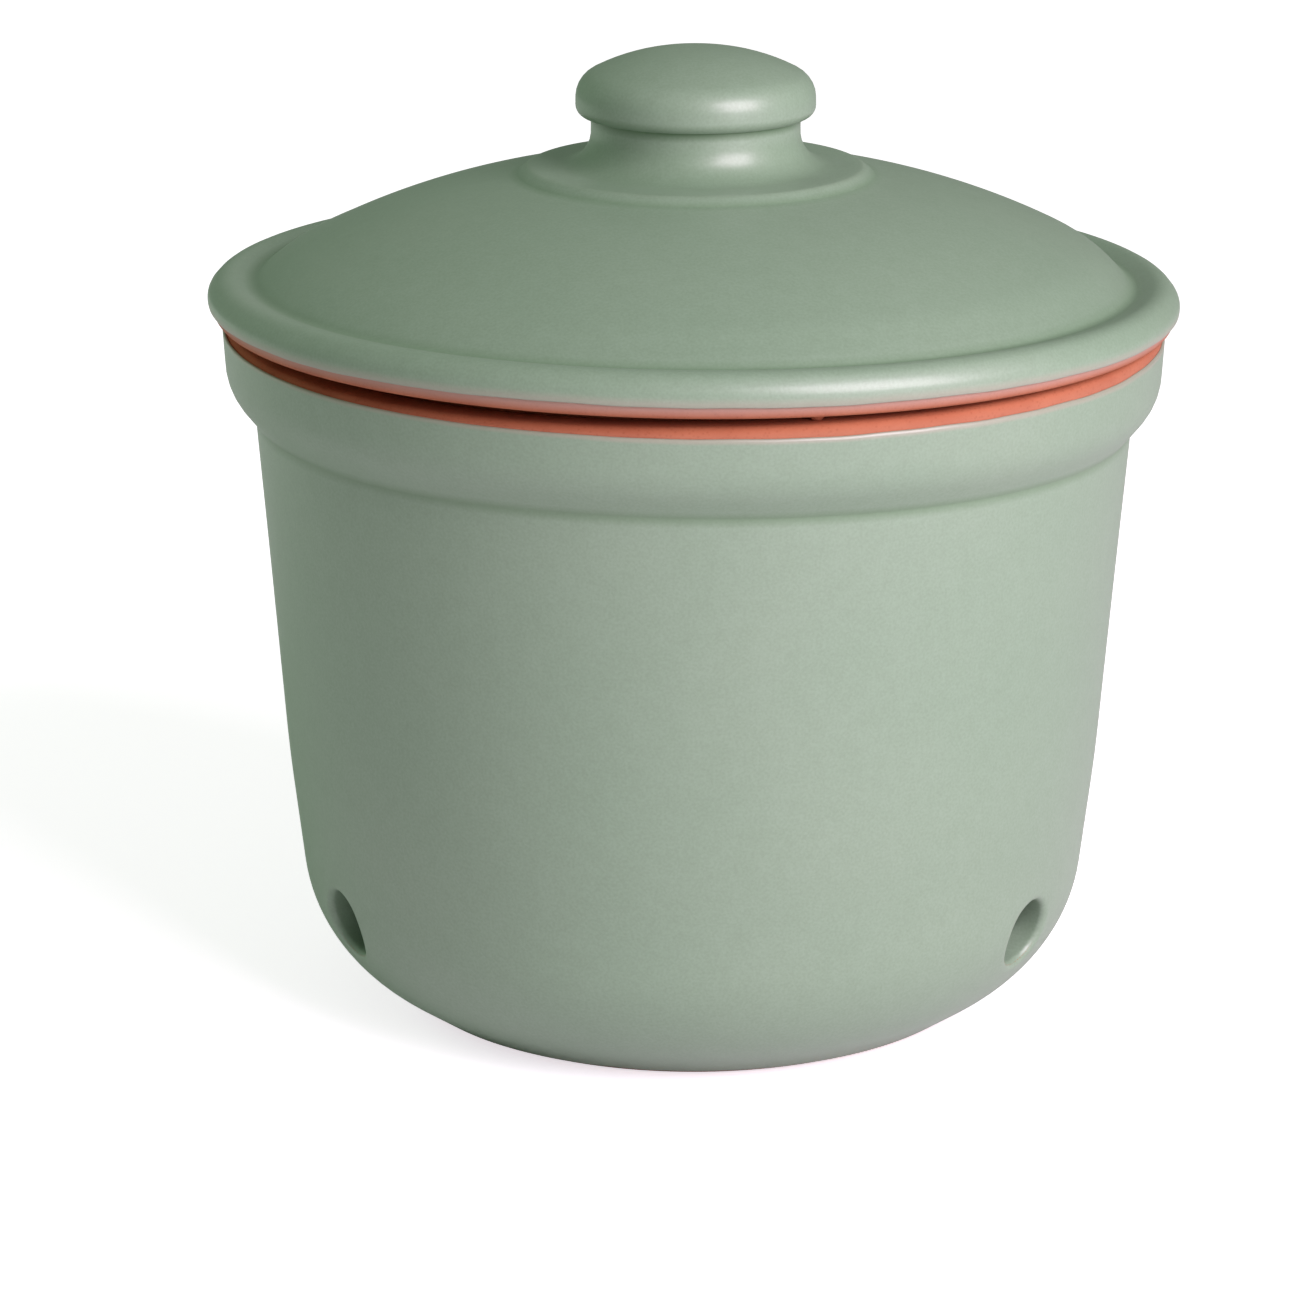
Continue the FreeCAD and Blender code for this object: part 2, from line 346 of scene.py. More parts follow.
# Vent holes, cut low in the wall and tilted so that they drain outwards
vents = {
    "diameter": 16.5, "height": 29.0, "tilt": 12.0,
    "columns": (72, 168, 264),  # at 90, 210 and 330 degrees
    "half": 8,                  # rows and columns of the wall mesh that a hole's patch takes each way
    "patchRings": (0.28, 0.52, 0.73, 0.88, 1.0),    # from the patch's border in to the hole's edge
    "lipRound": 1.7, "lipSteps": 6,                 # glaze rounds the outer edge over
    "innerRound": 0.5, "innerSteps": 3,
    "lipThin": 0.1,             # and breaks a little lighter on it
    "search": 25.0,             # a hole meets both faces of the wall within this of the heel's radius
    "below": 90.0, "aboveFloor": 3.0,       # a hole meets the wall below this height, and above the floor
    "coatSteps": 5, "claySteps": 4,         # mesh rows down a hole, in the coat and behind it
    # the coat's end in the hole: wider than the hole, out along it from the inner wall, and how thin
    "coatEnd": [(0.0, 0.35, 0.2), (0.3, -0.02, 0.8), (0.6, 0.1, 0.8)],
}


# A hole's middle line: a point on it, its way out, and the two ways across it
def rodOf(column):
    angle = angleOf(column)
    tilt = math.radians(vents["tilt"])
    out = Vector((math.cos(angle), math.sin(angle), 0))
    way = out * math.cos(tilt) - Vector((0, 0, math.sin(tilt)))
    across = Vector((-math.sin(angle), math.cos(angle), 0))
    up = across.cross(way) * -1
    return out * potSizes["heel"][0] + Vector((0, 0, vents["height"])), way, across, up


# Value between two others up to which a test holds
def turningPoint(low, high, holds):
    for _ in range(40):
        middle = (low + high) / 2
        if holds(middle):
            low = middle
        else:
            high = middle
    return (low + high) / 2


# Gives the function that tells a wall's radius at a height, between two lengths along its outline
def wallOf(outline, depth, span):
    rising = pointAt(outline, span[1], depth)[1] > pointAt(outline, span[0], depth)[1]

    def radiusAt(height):
        s = turningPoint(*span, lambda at: (pointAt(outline, at, depth)[1] < height) == rising)
        return pointAt(outline, s, depth)[0]

    return radiusAt


# Point where a line along the rod, at a distance and angle round it, meets the wall
def pierce(rod, distance, turn, wall):
    origin, way, across, up = rod
    base = origin + across * (distance * math.cos(turn)) + up * (distance * math.sin(turn))

    def isInside(along):
        p = base + way * along
        return math.hypot(p.x, p.y) < wall(p.z)

    return base + way * turningPoint(-vents["search"], vents["search"], isInside)


def onWall(p, wall):
    radius = math.hypot(p.x, p.y)
    r = wall(p.z)
    return Vector((p.x / radius * r, p.y / radius * r, p.z))


# Border of the patch that a hole takes out of the wall mesh
def windowOf(rings, hole):
    (r0, r1), (c0, c1) = hole["rows"], hole["columns"]
    loop = [rings[r0][c % columns] for c in range(c0, c1)]
    loop += [rings[r][c1 % columns] for r in range(r0, r1)]
    loop += [rings[r1][c % columns] for c in range(c1, c0, -1)]
    loop += [rings[r][c0 % columns] for r in range(r1, r0, -1)]
    return loop


def turnsRound(skin, loop, rod):
    origin, _, across, up = rod
    turns = []
    for index in loop:
        p = Vector(skin.points[index]) - origin
        turns.append(math.atan2(p.dot(up), p.dot(across)))
    return turns


# Rings from the window in to the hole's edge, then round the edge. Gives the last ring and its turns.
def patch(skin, rings, hole, wall, radius, bend, steps, thinEdge, inward):
    rod = hole["rod"]
    loop = windowOf(rings, hole)
    turns = turnsRound(skin, loop, rod)
    edge = [pierce(rod, radius + bend, turn, wall) for turn in turns]
    last = loop
    for t in vents["patchRings"]:
        ring = []
        for k, index in enumerate(loop):
            p = onWall(Vector(skin.points[index]).lerp(edge[k], t), wall)
            ring.append(skin.add(*p, thinEdge * smooth(0.6, 1.0, t) * 0.5))
        skin.strip(last, ring)
        last = ring
    for step in range(1, steps + 1):
        turnOver = math.pi / 2 * step / steps
        ring = []
        for k, turn in enumerate(turns):
            outwards = rod[2] * math.cos(turn) + rod[3] * math.sin(turn)
            narrower = outwards * (bend * math.sin(turnOver))
            p = edge[k] - narrower - rod[1] * (inward * bend * (1 - math.cos(turnOver)))
            ring.append(skin.add(*p, thinEdge))
        skin.strip(last, ring)
        last = ring
    return last, turns


# A ring where a hole of some radius meets a wall, moved out along the hole
def holeRing(skin, rod, radius, turns, wall, outAlong=0.0, thin=0.0):
    return [skin.add(*(pierce(rod, radius, turn, wall) + rod[1] * outAlong), thin) for turn in turns]


# Rings straight down the hole's wall to the other end
def tube(skin, first, last, steps):
    ends = [Vector(skin.points[i]) for i in first], [Vector(skin.points[i]) for i in last]
    before = first
    for step in range(1, steps):
        ring = []
        for a, b in zip(*ends):
            ring.append(skin.add(*a.lerp(b, step / steps)))
        skin.strip(before, ring)
        before = ring
    skin.strip(before, last)


# The patches that the holes take out of a wall whose mesh rows stand at these lengths
def holesFor(outline, lengths, wallSpan):
    wall = wallOf(outline, 0.0, wallSpan)
    onSpan = [i for i, s in enumerate(lengths) if wallSpan[0] <= s <= wallSpan[1]]
    half = vents["half"]
    holes = []
    for column in vents["columns"]:
        rod = rodOf(column)
        centre = pierce(rod, 0, 0, wall)
        row = min(onSpan, key=lambda i: abs(pointAt(outline, lengths[i])[1] - centre.z))
        holes.append({"rows": (row - half, row + half),
                      "columns": (column - half, column + half), "rod": rod})
    return holes, wall


# Pot
potSizes = {
    "glaze": 0.6, "glazeFootClear": 1.6,
    "foot": (69.2, 0.0, 3.0), "heel": (94.3, 17.0, 38.0), "waist": (99.6, 62.0, 400.0),
    "neck": (106.1, 146.5, 1.5), "collar": (112.8, 154.7, 14.0), "rim": (113.8, 170.3, 3.0), "rimBare": 3.4,
    "fadeLow": 0.3, "fadeHigh": 0.6,    # the coat thins out this far from its lower and upper end
    "film": 0.2,                        # film of glaze on the clay above the coat
    "wall": 7.5, "floor": 8.0, "floorRound": 12.0,
    "mouth": 102.6, "mouthRound": 3.0, "mouthDepth": 14.0, "shoulderDepth": 5.0, "shoulderRound": 3.0,
}


def potOutside(glaze):
    p = potSizes
    corners = [(0, 0, 0), p["foot"], p["heel"], p["waist"], p["neck"], p["collar"], p["rim"],
               (0, p["rim"][1], 0)]
    return insetCorners(corners, [0] + [glaze] * 5 + [0])


def potInside():
    p = potSizes
    slopeLine = shiftedLine(p["foot"], p["heel"], p["wall"])
    lowerLine = shiftedLine(p["heel"], p["waist"], p["wall"])
    upperLine = shiftedLine(p["waist"], p["neck"], p["wall"])
    rimHeight = p["rim"][1]
    mouthLow = rimHeight - p["mouthDepth"]
    shoulder = crossing(upperLine, (0, mouthLow - p["shoulderDepth"], 1, 0))
    floorEdge = crossing((0, p["floor"], 1, 0), slopeLine)
    return [
        (p["mouth"], rimHeight, p["mouthRound"]),
        (p["mouth"], mouthLow, p["shoulderRound"]),
        (*shoulder, p["shoulderRound"]),
        (*crossing(lowerLine, upperLine), p["waist"][2] - p["wall"]),
        (*crossing(slopeLine, lowerLine), p["heel"][2] - p["wall"]),
        (*floorEdge, p["floorRound"]),
        (0, p["floor"], 0),
    ]


# Clay from the foot's middle, up the outside under the coat, over the rim and down to the floor
def potClayOutline():
    return makeOutline(potOutside(potSizes["glaze"])[:-1] + potInside())


def outsideWallSpan(outline):
    return lengthAtHeight(outline, potSizes["glazeFootClear"]), lengthAtHeight(outline, vents["below"])


# The outline comes down the inner wall once it has gone up the outer one, past the collar
def insideWallSpan(outline):
    top = lengthAtHeight(outline, vents["below"], after=lengthAtHeight(outline, potSizes["collar"][1]))
    low = lengthAtHeight(outline, potSizes["floor"] + vents["aboveFloor"], after=top)
    return top, low


# How strongly glaze pools in a corner, darkened there as painted shade, and thins on an edge, for a bend per
# mm, and the most on an edge
coatLook = {"poolAndShade": 1.2, "edge": 0.4, "edgeMost": 0.15}
bead = {"steps": 5, "reach": 0.1}       # round end of a coat, and the length that gives its direction


# Glaze coat between two lengths: its mesh rows along the front, round its ends and back along the clay
def coatRows(skin, outline, start, end, glaze, fadeLow, fadeHigh=0.0):
    onAxis = end >= outline["s"][-1] - tiny
    lengths = rowLengths(outline, start, end, [start] if onAxis else [start, end])

    def fromEdge(s):
        return s - start if onAxis else min(s - start, end - s)

    def thinAt(s):
        fade = smooth(fadeLow, 0, s - start)
        if not onAxis:
            fade = max(fade, smooth(fadeHigh, 0, end - s))
        bend = bendAt(outline, s)
        if bend > 0:
            return max(fade, min(bend * coatLook["edge"], coatLook["edgeMost"]))
        # below zero in a corner: pooled glaze, darkened further as painted shade in the crease
        return fade if fade > 0 else max(bend * coatLook["poolAndShade"], -1.0)

    def wandering(s, angle):
        return s + wobble(angle) * smooth(wanderReach, 0, fromEdge(s))

    front, back = [], []
    for s in lengths:
        front.append(ringOf(skin, lambda a, s=s: pointAt(outline, wandering(s, a)), thinAt(s)))
    for s in reversed(lengths):
        back.append(ringOf(skin, lambda a, s=s: pointAt(outline, wandering(s, a), 1.0), 0.0))

    def capRings(s, sign):
        cap = []
        for step in range(1, bead["steps"]):
            turn = math.pi * step / bead["steps"]

            def place(angle):
                at = wandering(s, angle)
                fx, fz = pointAt(outline, at)
                bx, bz = pointAt(outline, at, 1.0)
                nx, nz = pointAt(outline, at + bead["reach"])
                px, pz = pointAt(outline, at - bead["reach"])
                tx, tz = (nx - px) * sign, (nz - pz) * sign
                length = math.hypot(tx, tz)
                half = glaze / 2
                mx, mz = (fx + bx) / 2, (fz + bz) / 2
                return (mx + (fx - mx) * math.cos(turn) + tx / length * half * math.sin(turn),
                        mz + (fz - mz) * math.cos(turn) + tz / length * half * math.sin(turn))

            cap.append(ringOf(skin, place, 1.0))
        return cap

    upper = [] if onAxis else capRings(end, 1)
    lower = capRings(start, -1)
    return lengths, front, upper, back, lower


# Order of the second loop's points that runs beside the first loop
def matchLoops(turns, others):
    count = len(turns)

    def gap(a, b):
        return abs(wrapped(a - b))

    start = min(range(count), key=lambda i: gap(others[i], turns[0]))
    forward = gap(others[(start + 1) % count], turns[1])
    backward = gap(others[(start - 1) % count], turns[1])
    step = 1 if forward < backward else -1
    return [(start + step * k) % count for k in range(count)]


def makePotGlaze(material):
    p = potSizes
    skin = Skin("pot_glaze_coat")
    outline = makeOutline(potOutside(0), potOutside(p["glaze"]))
    wallSpan = outsideWallSpan(outline)
    start = wallSpan[0]
    end = lengthAtHeight(outline, p["rim"][1] - p["rimBare"])
    rows = coatRows(skin, outline, start, end, p["glaze"], p["fadeLow"], p["fadeHigh"])
    lengths, front, upper, back, lower = rows
    frontHoles, frontWall = holesFor(outline, lengths, wallSpan)
    joinRings(skin, front, frontHoles)
    joinRings(skin, [front[-1]] + upper + [back[0]])
    backHoles = []
    for hole in frontHoles:
        r0, r1 = hole["rows"]
        backHoles.append(dict(hole, rows=(len(lengths) - 1 - r1, len(lengths) - 1 - r0)))
    joinRings(skin, back, backHoles)
    joinRings(skin, [back[-1]] + lower[::-1] + [front[0]])
    backWall = wallOf(outline, 1.0, wallSpan)
    inside = potClayOutline()
    innerWall = wallOf(inside, 0.0, insideWallSpan(inside))
    radius = vents["diameter"] / 2
    for frontHole, backHole in zip(frontHoles, backHoles):
        rod = frontHole["rod"]
        edge, turns = patch(skin, front, frontHole, frontWall, radius, vents["lipRound"],
                            vents["lipSteps"], vents["lipThin"], 1)
        before = edge
        for wider, outAlong, thin in vents["coatEnd"]:
            ring = holeRing(skin, rod, radius + wider, turns, innerWall, outAlong, thin)
            if before is edge:
                tube(skin, before, ring, vents["coatSteps"])
            else:
                skin.strip(before, ring)
            before = ring
        loop = windowOf(back, backHole)
        order = matchLoops(turns, turnsRound(skin, loop, rod))
        behind = holeRing(skin, rod, radius + p["glaze"], turns, backWall)
        tube(skin, before, behind, vents["claySteps"])
        skin.strip(behind, [loop[i] for i in order])
    return skin.make(material)


# A film of glaze stays on the clay where the coat was wiped back from an edge
filmWidth = 3.2
filmRows = 1.0                  # mesh rows on the clay are finest round this far from the edge


def filmAt(s, edge):
    return smooth(filmWidth, 0.0, abs(s - edge))


def makePotClay(material):
    p = potSizes
    skin = Skin("pot_clay")
    outline = potClayOutline()
    glazeEdge = lengthAtHeight(outline, p["rim"][1] - p["rimBare"])
    lengths = rowLengths(outline, 0.0, outline["s"][-1], [glazeEdge + filmRows])
    rings = []
    for s in lengths:
        rings.append(ringOf(skin, lambda a, s=s: pointAt(outline, s), p["film"] * filmAt(s, glazeEdge)))
    outHoles, outWall = holesFor(outline, lengths, outsideWallSpan(outline))
    inHoles, inWall = holesFor(outline, lengths, insideWallSpan(outline))
    joinRings(skin, rings, outHoles + inHoles)
    radius = vents["diameter"] / 2 + p["glaze"]
    for outHole, inHole in zip(outHoles, inHoles):
        rod = outHole["rod"]
        loop = windowOf(rings, outHole)
        turns = turnsRound(skin, loop, rod)
        mouth = holeRing(skin, rod, radius, turns, outWall)
        skin.strip(loop, mouth)
        edge, inTurns = patch(skin, rings, inHole, inWall, radius, vents["innerRound"],
                              vents["innerSteps"], 0.0, -1)
        order = matchLoops(turns, inTurns)
        tube(skin, mouth, [edge[i] for i in order], vents["claySteps"])
    return skin.make(material)


# Lid and knob
lidSizes = {
    "glaze": 0.6, "lipBare": 3.0, "fadeLow": 2.2, "height": 171.1,
    "lip": (115.8, 171.1, 2.2), "brimSide": (117.5, 176.2, 4.0), "brimEdge": (113.3, 181.0, 4.6),
    "ledge": (105.8, 178.7, 2.6), "domeLow": (98.6, 185.4, 40.0), "domeMid": (72.0, 198.0, 180.0),
    "domeTop": 204.5, "thickness": 7.5, "hollowRound": 6.0, "hollowTopRound": 40.0,
    "spigotRadius": 101.0, "spigotThickness": 6.0, "spigotLow": 162.6, "spigotRound": 2.0,
    "footFillet": 2.4,          # glaze gathered where the knob's foot meets the dome
}

knobSizes = {
    "footBase": 43.0,           # where the rounded edge of the foot meets the dome
    "foot": (40.2, 206.7, 2.4), "neckFoot": (25.1, 207.2, 8.0), "neckTop": (25.1, 218.8, 0.6),
    "capLow": (28.8, 218.8, 2.6), "capSide": (28.7, 227.6, 7.0), "shoulder": (13.7, 235.0, 50.0),
    "top": 235.0,
}

nubSizes = {
    "radius": 1.7, "height": 0.9, "leastHeight": 0.4, "ring": 108.45, "angles": (-73.5, 46.5, 166.5),
    "sunk": 0.5,                # into the clay of the lip
    "flareTop": 1.45, "flare": 1.4,         # times the radius, where the nub was pressed on
    "bulge": 1.15, "blunt": 0.8,            # the nub's round body
    "skinStep": 0.02, "rings": 8, "sides": 24,
}


def brimAndDomeCorners():
    p = lidSizes
    return [(0, p["height"], 0), p["lip"], p["brimSide"], p["brimEdge"], p["ledge"],
            p["domeLow"], p["domeMid"]]


def knobCorners():
    k = knobSizes
    return [k["foot"], k["neckFoot"], k["neckTop"], k["capLow"], k["capSide"], k["shoulder"],
            (0, k["top"], 0)]


def lidOutside(glaze):
    top = lidSizes["domeTop"]
    corners = brimAndDomeCorners() + [(knobSizes["footBase"], top, 0), (0, top, 0)]
    return insetCorners(corners, [0] + [glaze] * 6 + [0])


def knobOutside(glaze):
    base = lidSizes["domeTop"]
    corners = [(0, base, 0), (knobSizes["footBase"], base, 0)] + knobCorners()
    return insetCorners(corners, [0] + [glaze] * 7)


# Lid and knob as one run from the lip to the top of the knob
def lidAndKnob(glaze):
    join = (knobSizes["footBase"], lidSizes["domeTop"], lidSizes["footFillet"])
    corners = brimAndDomeCorners() + [join] + knobCorners()
    return insetCorners(corners, [0] + [glaze] * 13)


def lidUnderside():
    p = lidSizes
    outerLine = shiftedLine(p["domeLow"], p["domeMid"], p["thickness"])
    innerLine = shiftedLine(p["domeMid"], (knobSizes["footBase"], p["domeTop"]), p["thickness"])
    hollowTop = p["domeTop"] - p["thickness"]
    spigotInner = p["spigotRadius"] - p["spigotThickness"]
    return [
        (0, hollowTop, 0),
        (*crossing(innerLine, (0, hollowTop, 1, 0)), p["hollowTopRound"]),
        (*crossing(innerLine, outerLine), p["domeMid"][2] - p["thickness"]),
        (*crossing(outerLine, (spigotInner, 0, 0, 1)), p["hollowRound"]),
        (spigotInner, p["spigotLow"], p["spigotRound"]),
        (p["spigotRadius"], p["spigotLow"], p["spigotRound"]),
        (p["spigotRadius"], p["height"], p["spigotRound"] / 2),
    ]


def makeLidGlaze(material):
    p = lidSizes
    skin = Skin("lid_glaze_coat", onLid=True)
    outline = makeOutline(lidAndKnob(0), lidAndKnob(p["glaze"]))
    start = lengthAtHeight(outline, p["height"] + p["lipBare"])
    end = outline["s"][-1]
    lengths, front, upper, back, lower = coatRows(skin, outline, start, end, p["glaze"], p["fadeLow"])
    joinRings(skin, front)
    joinRings(skin, back)
    joinRings(skin, [back[-1]] + lower[::-1] + [front[0]])
    return skin.make(material)


# Small clay nubs under the lip, flared where they were pressed on. Each reaches down to the rim.
def addNubs(skin):
    n = nubSizes
    under = lidSizes["height"]
    for degrees in n["angles"]:
        angle = math.radians(degrees)
        cx, cy = n["ring"] * math.cos(angle), n["ring"] * math.sin(angle)
        tall = max(n["height"] - lidDrop(cx, cy), n["leastHeight"])
        profile = [(n["radius"] * n["flareTop"], under + n["sunk"]),
                   (n["radius"] * n["flare"], under + n["skinStep"])]
        for step in range(n["rings"] + 1):
            turn = math.pi / 2 * step / n["rings"]
            radius = n["radius"] * (n["bulge"] * math.cos(turn) ** n["blunt"] + n["skinStep"])
            profile.append((radius, under - tall * math.sin(turn)))
        rings = []
        for radius, height in profile:
            ring = []
            for step in range(n["sides"]):
                turn = 2 * math.pi * step / n["sides"]
                ring.append(skin.add(cx + radius * math.cos(turn), cy + radius * math.sin(turn), height))
            rings.append(ring)
        for a, b in zip(rings, rings[1:]):
            skin.strip(b, a)
        top = skin.add(cx, cy, under + n["sunk"])
        bottom = skin.add(cx, cy, under - tall)
        skin.fan(rings[0], top, flip=False)
        skin.fan(rings[-1], bottom, flip=True)


def makeLidClay(material):
    p = lidSizes
    skin = Skin("lid_clay", onLid=True)
    outline = makeOutline(lidUnderside() + lidOutside(p["glaze"])[1:])
    spigotEnd = lengthAtHeight(outline, p["spigotLow"])
    glazeEdge = lengthAtHeight(outline, p["height"] + p["lipBare"], after=spigotEnd)
    lengths = rowLengths(outline, 0.0, outline["s"][-1], [glazeEdge - filmRows])
    rings = [ringOf(skin, lambda a, s=s: pointAt(outline, s), filmAt(s, glazeEdge)) for s in lengths]
    joinRings(skin, rings)
    addNubs(skin)
    return skin.make(material)


def makeKnobClay(material):
    skin = Skin("knob_clay", onLid=True)
    outline = makeOutline(knobOutside(lidSizes["glaze"]))
    lengths = rowLengths(outline, 0.0, outline["s"][-1])
    rings = [ringOf(skin, lambda a, s=s: pointAt(outline, s), 0.0) for s in lengths]
    joinRings(skin, rings)
    return skin.make(material)


# Screen colour to the linear values that a shader takes
def linear(hexColour):
    parts = []
    for i in (1, 3, 5):
        c = int(hexColour[i:i + 2], 16) / 255
        parts.append(c / 12.92 if c <= 0.04045 else ((c + 0.055) / 1.055) ** 2.4)
    return (*parts, 1.0)


# Adds a node: settings are its properties and its unlinked sockets, links are socket = (node, output)
def node(tree, kind, settings=None, links=None):
    made = tree.nodes.new(kind)
    for key, value in (settings or {}).items():
        if isinstance(key, str) and hasattr(made, key):
            setattr(made, key, value)
        else:
            made.inputs[key].default_value = value
    for key, (source, output) in (links or {}).items():
        tree.links.new(source.outputs[output], made.inputs[key])
    return made


def newMaterial(name):
    material = bpy.data.materials.new(name)
    material.use_nodes = True
    material.node_tree.nodes.clear()
    return material, material.node_tree


# Colour sockets of a mix node: the lower and the upper colour, and the result
mixUnder, mixOver, mixed = 6, 7, 2


def ramp(tree, source, output, stops):
    made = node(tree, "ShaderNodeValToRGB", {}, {"Fac": (source, output)})
    elements = made.color_ramp.elements
    while len(elements) < len(stops):
        elements.new(0.5)
    for element, (position, hexColour) in zip(elements, stops):
        element.position = position
        element.color = linear(hexColour)
    return made


# One colour laid over another by a share from 0 to 1, given as (node, output)
def covered(tree, under, hexColour, share):
    return node(tree, "ShaderNodeMix", {"data_type": "RGBA", mixOver: linear(hexColour)},
                {0: share, mixUnder: under})


def multiplied(tree, under, over, amount):
    return node(tree, "ShaderNodeMix", {"data_type": "RGBA", "blend_type": "MULTIPLY", 0: amount},
                {mixUnder: under, mixOver: (over, "Color")})


# Stoneware glaze, sprayed and fired to a satin: a wide soft bloom of light over a muted green, faintly
# mottled, with greyish pink clay where the coat runs thin, and a deeper green in corners that is pooled
# glaze and painted shade
def sageGlaze():
    material, tree = newMaterial("satin_sage_stoneware_glaze")
    place = node(tree, "ShaderNodeTexCoord")
    where = {"Vector": (place, "Object")}
    clouds = node(tree, "ShaderNodeTexNoise", {"Scale": 14.0, "Detail": 2.0, "Roughness": 0.5}, where)
    tone = ramp(tree, clouds, "Fac", [(0.3, "#889F89"), (0.7, "#8DA28D")])
    mottle = node(tree, "ShaderNodeTexNoise", {"Scale": 240.0, "Detail": 3.0, "Roughness": 0.6}, where)
    mottleTone = ramp(tree, mottle, "Fac", [(0.3, "#F9FAF8"), (0.7, "#FFFFFF")])
    mottled = multiplied(tree, (tone, "Color"), mottleTone, 1.0)
    grain = node(tree, "ShaderNodeTexNoise", {"Scale": 1500.0, "Detail": 1.0}, where)
    grainTone = ramp(tree, grain, "Fac", [(0.3, "#F3F4F2"), (0.7, "#FFFFFF")])
    grained = multiplied(tree, (mottled, mixed), grainTone, 1.0)
    thin = node(tree, "ShaderNodeAttribute", {"attribute_name": "thin"})
    edge = node(tree, "ShaderNodeMapRange",
                {"From Min": 0.1, "From Max": 1.0, "To Min": 0.0, "To Max": 0.6}, {"Value": (thin, "Fac")})
    # deeper green in corners and grooves: partly pooled glaze, partly painted shade
    poolAndShade = node(tree, "ShaderNodeMapRange",
                {"From Min": 0.0, "From Max": -1.0, "To Min": 0.0, "To Max": 0.8}, {"Value": (thin, "Fac")})
    edged = covered(tree, (grained, mixed), "#A39A8C", (edge, 0))
    pooledAndShaded = covered(tree, (edged, mixed), "#5A7A55", (poolAndShade, 0))
    swell = node(tree, "ShaderNodeTexNoise", {"Scale": 45.0, "Detail": 1.0}, where)
    peel = node(tree, "ShaderNodeTexNoise", {"Scale": 600.0, "Detail": 2.0}, where)
    swellBump = node(tree, "ShaderNodeBump", {"Strength": 0.08, "Distance": 0.0004},
                     {"Height": (swell, "Fac")})
    peelBump = node(tree, "ShaderNodeBump", {"Strength": 0.2, "Distance": 0.00008},
                    {"Height": (peel, "Fac"), "Normal": (swellBump, "Normal")})
    shader = node(tree, "ShaderNodeBsdfPrincipled",
                  {"IOR": 1.52, "Metallic": 0.0, "Roughness": 0.45, "Specular IOR Level": 0.75,
                   "Coat Weight": 0.25, "Coat Roughness": 0.22},
                  {"Base Color": (pooledAndShaded, mixed), "Normal": (peelBump, "Normal")})
    node(tree, "ShaderNodeOutputMaterial", {}, {"Surface": (shader, "BSDF")})
    return material


# Fired terracotta body, sponged and left bare: dry, evenly rough, with fine grog in two tones, and a
# chalky pink film where glaze was wiped away beside the coat
def firedClay():
    material, tree = newMaterial("bare_fired_terracotta")
    place = node(tree, "ShaderNodeTexCoord")
    where = {"Vector": (place, "Object")}
    clouds = node(tree, "ShaderNodeTexNoise", {"Scale": 70.0, "Detail": 4.0}, where)
    tone = ramp(tree, clouds, "Fac", [(0.3, "#A65D41"), (0.7, "#B16A4C")])
    grog = node(tree, "ShaderNodeTexVoronoi", {"Scale": 900.0}, where)
    specks = ramp(tree, grog, "Distance", [(0.0, "#DDC9BC"), (0.35, "#FFFFFF")])
    specked = multiplied(tree, (tone, "Color"), specks, 0.6)
    film = node(tree, "ShaderNodeAttribute", {"attribute_name": "thin"})
    cover = node(tree, "ShaderNodeMath", {"operation": "MULTIPLY", 1: 0.85}, {0: (film, "Fac")})
    filmed = covered(tree, (specked, mixed), "#B5958A", (cover, 0))
    grit = node(tree, "ShaderNodeTexNoise", {"Scale": 1100.0, "Detail": 3.0}, where)
    bump = node(tree, "ShaderNodeBump", {"Strength": 0.5, "Distance": 0.0002}, {"Height": (grit, "Fac")})
    shader = node(tree, "ShaderNodeBsdfPrincipled",
                  {"IOR": 1.5, "Metallic": 0.0, "Roughness": 0.9, "Specular IOR Level": 0.3},
                  {"Base Color": (filmed, mixed), "Normal": (bump, "Normal")})
    node(tree, "ShaderNodeOutputMaterial", {}, {"Surface": (shader, "BSDF")})
    return material


# Stage, light and camera. The stage's sizes are in metres.
white = (1, 1, 1, 1)
stageSizes = {
    "floor": 8.0, "paper": (0.87, 0.84, 0.88, 1),
    "lift": 0.7, "glow": (1.0, 0.955, 1.0, 1),      # light that the camera alone sees, so the paper is white
}


def makeStage():
    half = stageSizes["floor"] / 2
    mesh = bpy.data.meshes.new("floor")
    corners = [(-half, -half, 0), (half, -half, 0), (half, half, 0), (-half, half, 0)]
    mesh.from_pydata(corners, [], [(0, 1, 2, 3)])
    material, tree = newMaterial("white_paper_sweep")
    paper = node(tree, "ShaderNodeBsdfDiffuse", {"Color": stageSizes["paper"]})
    path = node(tree, "ShaderNodeLightPath")
    lifted = node(tree, "ShaderNodeMath", {"operation": "MULTIPLY", 1: stageSizes["lift"]},
                  {0: (path, "Is Camera Ray")})
    glow = node(tree, "ShaderNodeEmission", {"Color": stageSizes["glow"]}, {"Strength": (lifted, 0)})
    both = node(tree, "ShaderNodeAddShader", {}, {0: (paper, 0), 1: (glow, 0)})
    node(tree, "ShaderNodeOutputMaterial", {}, {"Surface": (both, 0)})
    mesh.materials.append(material)
    floor = bpy.data.objects.new("floor", mesh)
    bpy.context.scene.collection.objects.link(floor)


# Strength of the light all round, and of the white that the camera sees behind
worldLight = {"given": 0.245, "seen": 1.0, "tint": (0.83, 1.0, 0.81, 1)}


def makeWorld():
    world = bpy.data.worlds.new("studio")
    world.use_nodes = True
    tree = world.node_tree
    tree.nodes.clear()
    path = node(tree, "ShaderNodeLightPath")
    level = node(tree, "ShaderNodeMapRange", {"To Min": worldLight["given"], "To Max": worldLight["seen"]},
                 {"Value": (path, "Is Camera Ray")})
    tint = node(tree, "ShaderNodeMix", {"data_type": "RGBA", mixUnder: worldLight["tint"], mixOver: white},
                {0: (path, "Is Camera Ray")})
    back = node(tree, "ShaderNodeBackground", {}, {"Strength": (level, 0), "Color": (tint, mixed)})
    node(tree, "ShaderNodeOutputWorld", {}, {"Surface": (back, 0)})
    bpy.context.scene.world = world


